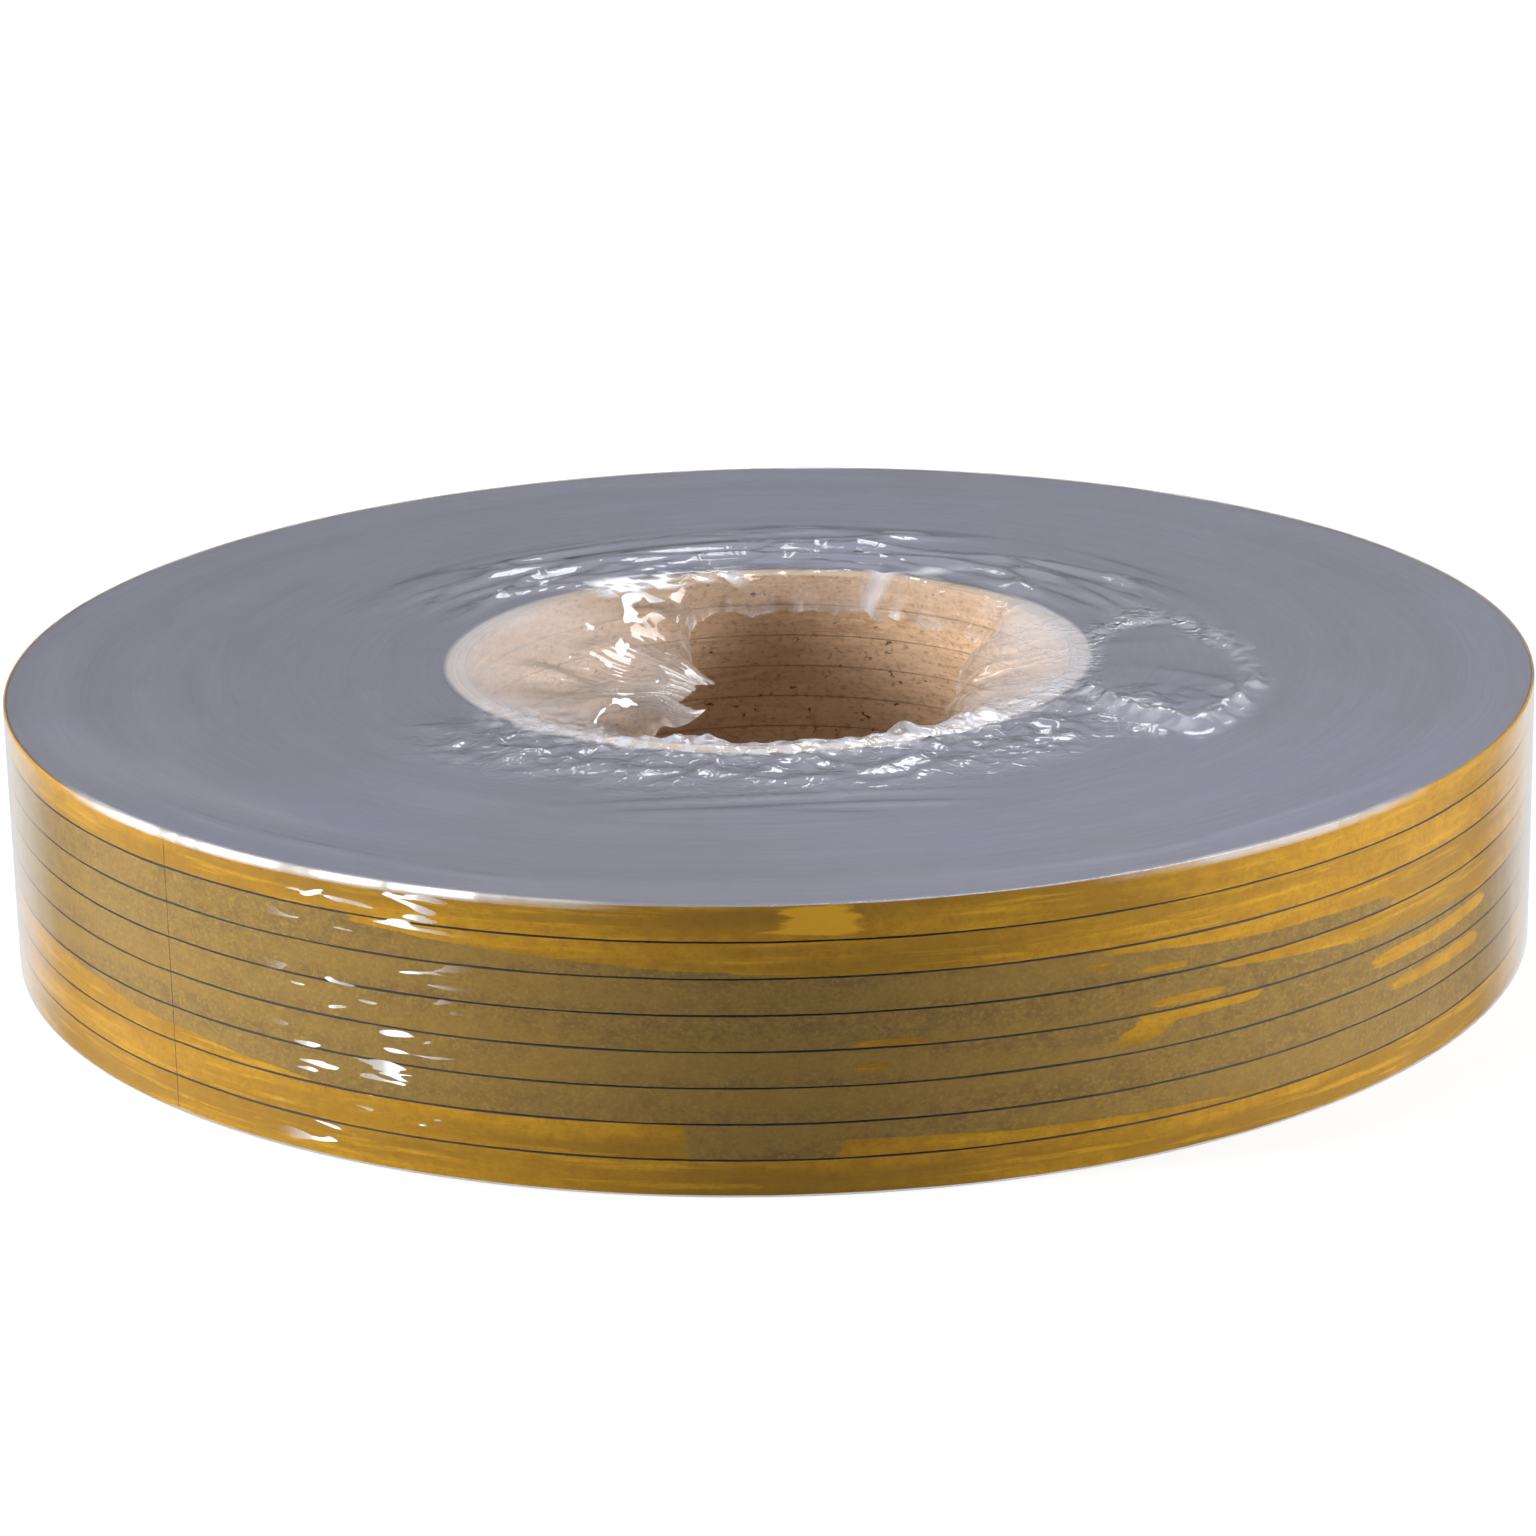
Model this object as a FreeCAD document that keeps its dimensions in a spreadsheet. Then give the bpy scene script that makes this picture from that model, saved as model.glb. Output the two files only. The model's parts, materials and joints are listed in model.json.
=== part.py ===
"""A shrink-wrapped stack of slit copper foil tape rolls, in millimetres.

Eight narrow rolls stand on one another on a common upright axis. Each roll is a slice of paper tube
(core_ring), the wound strip of adhesive-coated copper foil and yellow release liner (wound_tape), and the
last turn of that strip, where its two webs come apart in use: the foil (foil_turn) under the liner
(liner_turn). The last turn is a spiral, so it ends in a step one strip thickness high. A shrink film
(shrink_film) holds the stack: it covers the rim and both faces, and a short lip turns into the tube.

Z is the rolls' axis. The origin is on that axis, in the plane that the wrapped stack rests on.
"""

import FreeCAD
import Part
import Sketcher

import math
import os

ROLLS = 8

# The driving dimensions: alias, value in millimetres (degrees for the angles), meaning.
DIMENSIONS = [
    ("core_bore_dia", 76.2, "inside diameter of the paper tube"),
    ("core_wall", 3.0, "wall of the paper tube"),
    ("core_edge_break", 0.2, "bevel that the slitting knife leaves on a ring's inner edges"),
    ("roll_dia", 192.0, "diameter over the last turn of liner"),
    ("roll_pitch", 4.25, "width of a core ring, and so the height of one roll in the stack"),
    ("tape_width", 4.1, "slit width of foil and liner"),
    ("foil_thick", 0.06, "copper foil with its adhesive"),
    ("liner_thick", 0.07, "release liner"),
    ("tail_angle", 223.5, "where every roll's strip ends, counted from +X: they were slit from one log"),
    ("tail_gap_angle", 0.5, "angle left open between the end of the strip and the turn below it"),
    ("film_thick", 0.1, "shrink film"),
    ("film_gap", 0.05, "space between the film and the rolls, so that a roll can turn"),
    ("film_corner", 0.2, "outside rounding where the film turns over an edge"),
    ("lip_depth", 6.0, "how far the film's lips reach into the tube"),
]

NO_TURN = FreeCAD.Rotation()


def sheet_with_dimensions(doc):
    """The spreadsheet that every size comes from: a name, a value and a meaning per row."""
    sheet = doc.addObject("Spreadsheet::Sheet", "dims")
    for row, (alias, value, meaning) in enumerate(DIMENSIONS, start=1):
        sheet.set(f"A{row}", alias)
        sheet.set(f"B{row}", str(value))
        sheet.set(f"C{row}", meaning)
        sheet.setAlias(f"B{row}", alias)
    doc.recompute()
    return sheet


def origin_plane(body, role):
    """One of a body's own origin planes, such as XY_Plane."""
    return next(f for f in body.Origin.OriginFeatures if f.Role == role)


def ring_body(doc, name, inner_radius, outer_radius, height, z):
    """A PartDesign body: the flat ring between two circles, padded up. The four sizes are expressions."""
    body = doc.addObject("PartDesign::Body", name)
    body.Label = name
    sketch = body.newObject("Sketcher::SketchObject", name + "_outline")
    sketch.AttachmentSupport = [(origin_plane(body, "XY_Plane"), "")]
    sketch.MapMode = "FlatFace"
    for label, expression in (("outer_radius", outer_radius), ("inner_radius", inner_radius)):
        circle = Part.Circle(FreeCAD.Vector(0, 0, 0), FreeCAD.Vector(0, 0, 1), 50)
        index = sketch.addGeometry(circle, False)
        sketch.addConstraint(Sketcher.Constraint("Coincident", index, 3, -1, 1))
        radius = sketch.addConstraint(Sketcher.Constraint("Radius", index, 50))
        sketch.renameConstraint(radius, label)
        sketch.setExpression("Constraints." + label, expression)
    pad = body.newObject("PartDesign::Pad", name + "_pad")
    pad.Profile = sketch
    pad.setExpression("Length", height)
    body.setExpression("Placement.Base.z", z)
    doc.recompute()
    return body, pad


def round_edges(shape, radius):
    """The names of a shape's circular edges of one radius, as a dress-up feature wants them."""
    return [
        f"Edge{number}"
        for number, edge in enumerate(shape.Edges, start=1)
        if isinstance(edge.Curve, Part.Circle) and abs(edge.Curve.Radius - radius) < 1e-6
    ]


def core_ring(doc, sheet, number, floor_z):
    """A slice of paper tube, with both inner edges broken by the knife."""
    name = f"core_ring_{number}"
    bore = "<<dims>>.core_bore_dia / 2"
    body, pad = ring_body(doc, name, bore, bore + " + <<dims>>.core_wall", "<<dims>>.roll_pitch", floor_z)
    bevel = body.newObject("PartDesign::Chamfer", name + "_edge_break")
    bevel.Base = (pad, round_edges(pad.Shape, sheet.core_bore_dia / 2))
    bevel.setExpression("Size", "<<dims>>.core_edge_break")
    body.Tip = bevel
    return body


def wound_tape(doc, number, tape_z):
    """Every turn of foil and liner but the last, from the core out to the turn before the last."""
    inner = "<<dims>>.core_bore_dia / 2 + <<dims>>.core_wall"
    outer = "<<dims>>.roll_dia / 2 - 2 * (<<dims>>.foil_thick + <<dims>>.liner_thick)"
    body, _ = ring_body(doc, f"wound_tape_{number}", inner, outer, "<<dims>>.tape_width", tape_z)
    return body


def spiral_edges(radius, drop, start_deg, sweep_deg):
    """One turn of a four-centre spiral: tangent arcs, each a quarter of drop closer in than the last."""
    step = drop / 4

    def along(degrees):
        return FreeCAD.Vector(math.cos(math.radians(degrees)), math.sin(math.radians(degrees)), 0)

    centre = (along(start_deg + 90) + along(start_deg + 180)) * (-step / 2)
    edges = []
    for quarter in range(4):
        first = start_deg + 90 * quarter
        last = min(first + 90, start_deg + sweep_deg)
        middle = (first + last) / 2
        arc_radius = radius - quarter * step
        points = [centre + along(angle) * arc_radius for angle in (first, middle, last)]
        edges.append(Part.Arc(*points).toShape())
        centre = centre + along(first + 90) * step
    return edges


def spiral_turn(doc, sheet, name, depth, thickness, z):
    """The last turn of one web: a strip of even thickness, depth below the roll's outside at its end.

    It is a Part::Feature, because a spiral of tangent arcs has no primitive or simple sketch.
    """
    drop = sheet.foil_thick + sheet.liner_thick
    sweep = 360 - sheet.tail_gap_angle
    outside_radius = sheet.roll_dia / 2 - depth
    outside = spiral_edges(outside_radius, drop, sheet.tail_angle, sweep)
    inside = spiral_edges(outside_radius - thickness, drop, sheet.tail_angle, sweep)
    tail_end = Part.makeLine(outside[0].firstVertex().Point, inside[0].firstVertex().Point)
    inner_end = Part.makeLine(outside[-1].lastVertex().Point, inside[-1].lastVertex().Point)
    outline = Part.Wire(Part.__sortEdges__(outside + [inner_end] + inside + [tail_end]))
    turn = doc.addObject("Part::Feature", name)
    turn.Label = name
    turn.Shape = Part.Face(outline).extrude(FreeCAD.Vector(0, 0, sheet.tape_width))
    turn.Placement = FreeCAD.Placement(FreeCAD.Vector(0, 0, z), NO_TURN)
    return turn


def tape_roll(doc, sheet, number):
    """The four nodes of one roll. Roll 1 is the lowest."""
    floor_z = f"<<dims>>.film_thick + <<dims>>.film_gap + {number - 1} * <<dims>>.roll_pitch"
    tape_z = f"{floor_z} + (<<dims>>.roll_pitch - <<dims>>.tape_width) / 2"
    ring = core_ring(doc, sheet, number, floor_z)
    pack = wound_tape(doc, number, tape_z)
    doc.recompute()
    strip_z = pack.Placement.Base.z
    liner = spiral_turn(doc, sheet, f"liner_turn_{number}", 0, sheet.liner_thick, strip_z)
    foil = spiral_turn(doc, sheet, f"foil_turn_{number}", sheet.liner_thick, sheet.foil_thick, strip_z)
    return [ring, pack, foil, liner]


def cylinder(doc, name, radius, height, z):
    """A Part cylinder on the Z axis, sized and placed by expressions."""
    made = doc.addObject("Part::Cylinder", name)
    made.setExpression("Radius", radius)
    made.setExpression("Height", height)
    made.setExpression("Placement.Base.z", z)
    return made


def cut(doc, name, base, tool):
    """What is left of base once tool is taken away."""
    made = doc.addObject("Part::Cut", name)
    made.Base = base
    made.Tool = tool
    made.Label = name
    return made


def shrink_film(doc, sheet):
    """One thin shell: rim wall, two faces, and a lip down each mouth of the tube."""
    stack = f"{ROLLS} * <<dims>>.roll_pitch"
    wall = "<<dims>>.film_gap + <<dims>>.film_thick"
    envelope, pad = ring_body(
        doc,
        "film_envelope",
        f"<<dims>>.core_bore_dia / 2 - ({wall})",
        f"<<dims>>.roll_dia / 2 + {wall}",
        f"{stack} + 2 * ({wall})",
        "0",
    )
    wall_mm = sheet.film_gap + sheet.film_thick
    corners = envelope.newObject("PartDesign::Fillet", "film_corners")
    corners.Base = (
        pad,
        round_edges(pad.Shape, sheet.roll_dia / 2 + wall_mm)
        + round_edges(pad.Shape, sheet.core_bore_dia / 2 - wall_mm),
    )
    corners.setExpression("Radius", "<<dims>>.film_corner")
    envelope.Tip = corners

    space_height = f"{stack} + 2 * <<dims>>.film_gap"
    rim_space = cylinder(
        doc,
        "rim_space",
        "<<dims>>.roll_dia / 2 + <<dims>>.film_gap",
        space_height,
        "<<dims>>.film_thick",
    )
    lip_solid = cylinder(
        doc,
        "lip_solid",
        "<<dims>>.core_bore_dia / 2 - <<dims>>.film_gap",
        space_height,
        "<<dims>>.film_thick",
    )
    stack_space = cut(doc, "stack_space", rim_space, lip_solid)
    open_middle = cylinder(
        doc,
        "open_middle",
        "<<dims>>.core_bore_dia / 2 + <<dims>>.core_wall / 2",
        f"{stack} + 2 * ({wall}) - 2 * <<dims>>.lip_depth",
        "<<dims>>.lip_depth",
    )
    shell = cut(doc, "film_shell", envelope, stack_space)
    return cut(doc, "shrink_film", shell, open_middle)


def checked(doc, nodes):
    """Stops the run if an object failed or a node's shape is empty, broken or not closed."""
    for made in doc.Objects:
        if {"Invalid", "Error"} & set(made.State):
            raise RuntimeError(f"{made.Name} failed: {made.State}")
    for node in nodes:
        shape = node.Shape
        if shape.isNull() or not shape.isValid() or len(shape.Solids) != 1 or shape.Volume <= 0:
            raise RuntimeError(f"{node.Label} is not one good solid")


def main():
    doc = FreeCAD.newDocument("tape_stack")
    sheet = sheet_with_dimensions(doc)
    nodes = [shrink_film(doc, sheet)]
    for number in range(1, ROLLS + 1):
        nodes += tape_roll(doc, sheet, number)
    doc.recompute()
    checked(doc, nodes)
    os.makedirs("parts", exist_ok=True)
    for node in nodes:
        node.Shape.exportStep(f"parts/{node.Label}.step")
        print(f"{node.Label:14s} {node.Shape.Volume:10.1f} mm3  z {node.Shape.BoundBox.ZMin:.2f} "
              f"to {node.Shape.BoundBox.ZMax:.2f}")


main()
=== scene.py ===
"""The looks of a shrink-wrapped stack of slit foil tape rolls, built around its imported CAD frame.

Each roll is a slice of kraft tube, a wound pack of foil and liner, and that strip's last turn, split into
its foil and its yellow release liner. A clear shrink film covers the stack: taut on the faces and the rim,
crumpled round the tube, and torn open in the middle, where its ragged web hangs into the tube.

Z is the rolls' axis. Lengths are written in millimetres and leave this file in metres. Azimuths are in
degrees from +X: the back is at 90, the left at 180, and the front, where the camera stands, at 270.
"""

from collections import namedtuple
import json
import math
import random

import bpy
from mathutils import Matrix, Vector, noise

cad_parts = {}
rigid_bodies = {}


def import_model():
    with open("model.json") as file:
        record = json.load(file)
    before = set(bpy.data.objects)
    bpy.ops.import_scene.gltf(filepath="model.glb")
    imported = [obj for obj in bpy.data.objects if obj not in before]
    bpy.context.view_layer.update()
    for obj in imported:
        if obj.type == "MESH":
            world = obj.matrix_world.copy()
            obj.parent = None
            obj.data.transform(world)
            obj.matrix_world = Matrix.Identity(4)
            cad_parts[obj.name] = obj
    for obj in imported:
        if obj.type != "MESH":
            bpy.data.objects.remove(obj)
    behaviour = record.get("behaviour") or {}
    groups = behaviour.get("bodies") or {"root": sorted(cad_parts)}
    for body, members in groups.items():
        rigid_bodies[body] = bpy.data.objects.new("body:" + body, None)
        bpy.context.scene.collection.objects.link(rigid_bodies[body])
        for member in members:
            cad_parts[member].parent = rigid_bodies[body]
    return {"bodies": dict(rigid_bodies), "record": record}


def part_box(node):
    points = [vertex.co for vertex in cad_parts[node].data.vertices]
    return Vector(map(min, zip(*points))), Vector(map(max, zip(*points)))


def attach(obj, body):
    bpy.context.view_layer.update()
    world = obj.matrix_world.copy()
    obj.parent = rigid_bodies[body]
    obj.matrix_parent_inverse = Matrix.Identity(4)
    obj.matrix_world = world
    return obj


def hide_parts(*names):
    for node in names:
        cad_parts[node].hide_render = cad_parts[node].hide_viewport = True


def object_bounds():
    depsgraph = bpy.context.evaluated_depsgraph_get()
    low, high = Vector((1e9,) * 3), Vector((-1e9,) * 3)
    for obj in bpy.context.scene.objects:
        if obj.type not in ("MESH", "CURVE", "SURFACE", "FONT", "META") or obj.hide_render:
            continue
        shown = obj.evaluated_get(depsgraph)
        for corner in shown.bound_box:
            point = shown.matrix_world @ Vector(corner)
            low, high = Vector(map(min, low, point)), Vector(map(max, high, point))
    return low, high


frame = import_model()
cad_low, cad_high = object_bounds()

MM = 0.001

# Room between two strips, in which their edges wander.
STRIP_ROOM = 0.1

# Sizes that the frame gives, in millimetres.
core_low, core_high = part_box("core_ring_1")
liner_low, liner_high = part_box("liner_turn_1")
ROLLS = sum(body.startswith("roll_") for body in frame["bodies"])
TOP = cad_high.z / MM
RIM = cad_high.x / MM
CORE_BORE = frame["record"]["mounts"][0]["dims"]["r_mm"]
CORE_OUTSIDE = core_high.x / MM
CORE_FLOOR = core_low.z / MM
CORE_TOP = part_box(f"core_ring_{ROLLS}")[1].z / MM
PITCH = (CORE_TOP - CORE_FLOOR) / ROLLS
PACK_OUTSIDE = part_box("wound_tape_1")[1].x / MM
LINER_OUTSIDE = liner_high.y / MM
TAPE_WIDTH = (liner_high.z - liner_low.z) / MM - STRIP_ROOM

# The last turn: foil with adhesive under liner, and where the strips end.
LINER_THICK = 0.07
FOIL_THICK = 0.06
STRIP_THICK = LINER_THICK + FOIL_THICK
TAIL_AZIMUTH = 223.5
TAIL_GAP = 0.03


def roll_floor(number):
    """Height of the lower end of a roll's core ring."""
    return CORE_FLOOR + (number - 1) * PITCH


def tape_floor(number):
    """Height of the lower edge of a roll's tape, which stands midway on its core ring."""
    return roll_floor(number) + (PITCH - TAPE_WIDTH) / 2


# ---------- shaping helpers

# How far the crests of ridged noise are rounded, to stay wide enough for the mesh.
CREST_ROUND = 0.12


def compass(azimuth):
    """The parts along X and along Y of a unit step towards an azimuth."""
    angle = math.radians(azimuth)
    return math.cos(angle), math.sin(angle)


def flat_point(radius, azimuth):
    """X and Y of the place at a radius and an azimuth."""
    x, y = compass(azimuth)
    return radius * x, radius * y


def polar(radius, azimuth, height):
    """The point, in metres, at a radius and height in millimetres and an azimuth in degrees."""
    return Vector((*flat_point(radius, azimuth), height)) * MM


def ease(value, low, high):
    """0 below low, 1 above high and smooth between them."""
    share = min(1.0, max(0.0, (value - low) / (high - low)))
    return share * share * (3.0 - 2.0 * share)


def soft_step(value, edge, softness):
    """0 below an edge and 1 above it, smooth as far as the softness on either side."""
    return ease(value, edge - softness, edge + softness)


def bell(value, width):
    """1 where value is 0, falling to 0 over a few widths on either side."""
    return math.exp(-(value / width) ** 2)


def azimuths(columns):
    """Evenly spaced azimuths, once round."""
    return [360.0 * column / columns for column in range(columns)]


def turn_from(azimuth, start):
    """How many degrees azimuth lies past start, from 0 to 360."""
    return (azimuth - start) % 360.0


def sector(azimuth, start, end, soft):
    """1 between two azimuths and 0 outside them, smooth over soft degrees inside each end."""
    past = turn_from(azimuth, start)
    length = turn_from(end, start)
    if past > length:
        return 0.0
    return ease(min(past, length - past), 0.0, soft)


def waves(x, y, z=0.0):
    """Smooth noise from about -1 to 1."""
    return noise.noise(Vector((x, y, z)))


def round_waves(azimuth, scale, z):
    """Smooth noise that runs round the axis and meets itself."""
    x, y = compass(azimuth)
    return waves(x * scale, y * scale, z)


def crease(x, y, z):
    """Ridged noise from 0 to 1, with narrow crests at 1."""
    return max(0.0, 1.0 + CREST_ROUND - math.hypot(waves(x, y, z) * 2.4, CREST_ROUND))


def facets(x, y, z):
    """0 along the creases of a crumpled sheet, rising to about 1 in the middle of each flat facet."""
    near, next_near = noise.voronoi(Vector((x, y, z)))[0][:2]
    return min(1.0, (next_near - near) * 1.6)


# ---------- mesh helpers


def new_object(name, data):
    """An object in the scene that shows a mesh, a lamp or a camera."""
    made = bpy.data.objects.new(name, data)
    bpy.context.scene.collection.objects.link(made)
    return made


def finish_piece(name, points, faces, material, body, node, sharp_degrees=40.0):
    """A mesh object, shaded smooth but for its sharp edges, that rides on its CAD body."""
    mesh = bpy.data.meshes.new(name)
    mesh.from_pydata(points, [], faces)
    mesh.validate()
    mesh.shade_smooth()
    mesh.set_sharp_from_angle(angle=math.radians(sharp_degrees))
    mesh.materials.append(material)
    piece = new_object(name, mesh)
    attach(piece, body)
    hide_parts(node)
    return piece


def tube_faces(columns, points_round, closed):
    """Quads that join closed cross-sections, one after another, with flat ends if the run isn't closed."""
    faces = []
    for column in range(columns if closed else columns - 1):
        here = column * points_round
        there = (column + 1) % columns * points_round
        for point in range(points_round):
            after = (point + 1) % points_round
            faces.append((here + point, there + point, there + after, here + after))
    if not closed:
        last = (columns - 1) * points_round
        faces.append(tuple(range(points_round)))
        faces.append(tuple(last + point for point in reversed(range(points_round))))
    return faces


def sheet_faces(rows, columns):
    """Quads of a sheet that closes on itself from column to column."""
    faces = []
    for row in range(rows - 1):
        for column in range(columns):
            after = (column + 1) % columns
            here, there = row * columns, (row + 1) * columns
            faces.append((here + column, here + after, there + after, there + column))
    return faces


def store(piece, name, values):
    """Keeps one number per vertex for the material to read."""
    attribute = piece.data.attributes.new(name, "FLOAT", "POINT")
    attribute.data.foreach_set("value", values)


# ---------- node helpers

# A shaded point in millimetres, its direction and distance from the axis, and its height.
Spot = namedtuple("Spot", "point direction distance height")


def new_material(name):
    """An empty node material and its node tree."""
    material = bpy.data.materials.new(name)
    material.use_nodes = True
    tree = material.node_tree
    tree.nodes.clear()
    return material, tree


def put(tree, socket, value):
    """Links value to the socket if it is another node's output, and otherwise sets it."""
    if isinstance(value, bpy.types.NodeSocket):
        tree.links.new(value, socket)
    elif value is not None:
        socket.default_value = value


def add(tree, kind, inputs=None, **settings):
    """A node of that kind, with its settings and its inputs by name or number."""
    node = tree.nodes.new("ShaderNode" + kind)
    for name, value in settings.items():
        setattr(node, name, value)
    for name, value in (inputs or {}).items():
        put(tree, node.inputs[name], value)
    return node


def surface(tree, kind, inputs):
    """Ends the tree in a shader of that kind."""
    add(tree, "OutputMaterial", {0: add(tree, kind, inputs).outputs[0]})


def attribute(tree, name):
    """A number that store() kept for each vertex."""
    return add(tree, "Attribute", attribute_name=name).outputs["Fac"]


def maths(tree, operation, first, second=None, clamp=False):
    """One step of arithmetic."""
    node = add(tree, "Math", {0: first, 1: second}, operation=operation, use_clamp=clamp)
    return node.outputs[0]


def plus(tree, first, second):
    """The sum of two values."""
    return maths(tree, "ADD", first, second)


def times(tree, first, second):
    """The product of two values."""
    return maths(tree, "MULTIPLY", first, second)


def weighted(tree, *terms):
    """The sum of some values, each times its weight."""
    total = None
    for value, weight in terms:
        term = times(tree, value, weight)
        total = term if total is None else plus(tree, total, term)
    return total


def vector_maths(tree, operation, first, second=None):
    """One step of arithmetic on vectors."""
    return add(tree, "VectorMath", {0: first, 1: second}, operation=operation).outputs[0]


def scaled(tree, vector, factor):
    """vector, made longer or shorter."""
    return add(tree, "VectorMath", {0: vector, "Scale": factor}, operation="SCALE").outputs[0]


def remap(tree, value, low, high, to_low=0.0, to_high=1.0):
    """value from one range to another, held inside it, with soft ends."""
    inputs = {"Value": value, "From Min": low, "From Max": high, "To Min": to_low, "To Max": to_high}
    node = add(tree, "MapRange", inputs, interpolation_type="SMOOTHSTEP")
    return node.outputs[0]


def mix_colour(tree, share, first, second):
    """first, changing to second as share goes from 0 to 1."""
    node = add(tree, "Mix", data_type="RGBA")
    put(tree, node.inputs[0], share)
    for socket, value in ((node.inputs[6], first), (node.inputs[7], second)):
        put(tree, socket, (*value, 1.0) if isinstance(value, tuple) else value)
    return node.outputs[2]


def tinted(tree, colour, *tints):
    """colour under tints: each a value to follow, the range it comes in over, its strength and colour."""
    for value, low, high, strength, tint in tints:
        colour = mix_colour(tree, remap(tree, value, low, high, 0.0, strength), colour, tint)
    return colour


def noise_texture(tree, vector, scale, detail=4.0, roughness=0.5, distortion=0.0):
    """Noise from 0 to 1 along a vector in millimetres; scale is in cells per millimetre."""
    inputs = {"Vector": vector, "Scale": scale, "Detail": detail}
    inputs |= {"Roughness": roughness, "Distortion": distortion}
    return add(tree, "TexNoise", inputs).outputs[0]


def stretched_noise(tree, vector, stretch, detail, distortion):
    """Noise with a scale of its own along each axis."""
    vector = vector_maths(tree, "MULTIPLY", vector, stretch)
    return noise_texture(tree, vector, 1.0, detail, 0.5, distortion)


def ring_noise(tree, distance, scale, detail, roughness=0.5):
    """Noise from 0 to 1 that changes only with the distance from the axis."""
    inputs = {"W": distance, "Scale": scale, "Detail": detail, "Roughness": roughness}
    return add(tree, "TexNoise", inputs, noise_dimensions="1D").outputs[0]


def wrapped_noise(tree, spot, radius, along, across, detail, roughness, distortion=0.0):
    """Noise with one scale along a circle of that radius and another across it, up or outwards."""
    circle = scaled(tree, spot.direction, radius * along)
    crossing = times(tree, plus(tree, spot.distance, spot.height), across)
    upright = add(tree, "CombineXYZ", {2: crossing}).outputs[0]
    vector = vector_maths(tree, "ADD", circle, upright)
    return noise_texture(tree, vector, 1.0, detail, roughness, distortion)


def place(tree):
    """The spot being shaded."""
    coordinates = add(tree, "TexCoord").outputs["Object"]
    point = scaled(tree, coordinates, 1.0 / MM)
    flat = vector_maths(tree, "MULTIPLY", point, (1.0, 1.0, 0.0))
    direction = vector_maths(tree, "NORMALIZE", flat)
    distance = add(tree, "VectorMath", {0: flat}, operation="LENGTH").outputs["Value"]
    height = add(tree, "SeparateXYZ", {0: point}).outputs[2]
    return Spot(point, direction, distance, height)


def bump(tree, height, millimetres, under=None):
    """A surface normal from a height between 0 and 1 that stands for so many millimetres."""
    inputs = {"Height": height, "Distance": millimetres * MM, "Strength": 1.0, "Normal": under}
    return add(tree, "Bump", inputs).outputs[0]


# ---------- materials

LINER_DARK = (0.222, 0.134, 0.038)
OWN_HEIGHT_STEP = 50.0


def kraft_material():
    """Brown spiral-wound board: fibres round the tube, dark specks, and pale knife-cut edges."""
    material, tree = new_material("kraft_board")
    spot = place(tree)
    fibres = wrapped_noise(tree, spot, CORE_BORE, 0.12, 1.1, 6.0, 0.7, 0.8)
    clouds = wrapped_noise(tree, spot, CORE_BORE, 0.05, 0.16, 4.0, 0.6)
    grain = wrapped_noise(tree, spot, CORE_BORE, 1.0, 1.6, 5.0, 0.75)
    specks = wrapped_noise(tree, spot, CORE_BORE, 0.6, 1.0, 3.0, 0.65)
    brown = mix_colour(tree, remap(tree, fibres, 0.30, 0.70), (0.45, 0.292, 0.178), (0.66, 0.452, 0.298))
    brown = tinted(
        tree,
        brown,
        (clouds, 0.35, 0.70, 0.6, (0.64, 0.455, 0.31)),
        (grain, 0.50, 0.70, 0.75, (0.23, 0.132, 0.072)),
        (grain, 0.45, 0.28, 0.5, (0.80, 0.58, 0.36)),
        (specks, 0.65, 0.71, 0.85, (0.04, 0.022, 0.013)),
    )
    # The cut ends of the rings are paler, with the plies of the board as thin rings.
    normal = add(tree, "NewGeometry").outputs["Normal"]
    facing_up = maths(tree, "ABSOLUTE", add(tree, "SeparateXYZ", {0: normal}).outputs[2])
    plies = ring_noise(tree, spot.distance, 2.6, 2.0)
    cut = mix_colour(tree, remap(tree, plies, 0.35, 0.65), (0.36, 0.26, 0.17), (0.55, 0.43, 0.30))
    # The first turn's adhesive greys the outermost ply.
    colour = tinted(
        tree,
        brown,
        (facing_up, 0.8, 0.95, 1.0, cut),
        (spot.distance, CORE_OUTSIDE - 0.5, CORE_OUTSIDE - 0.2, 1.0, (0.19, 0.19, 0.25)),
    )
    surface(tree, "BsdfPrincipled", {
        "Base Color": colour,
        "Roughness": remap(tree, fibres, 0.2, 0.8, 0.95, 0.72),
        "Specular IOR Level": 0.25,
        "Normal": bump(tree, weighted(tree, (fibres, 0.5), (grain, 0.5)), 0.25),
    })
    return material


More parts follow.
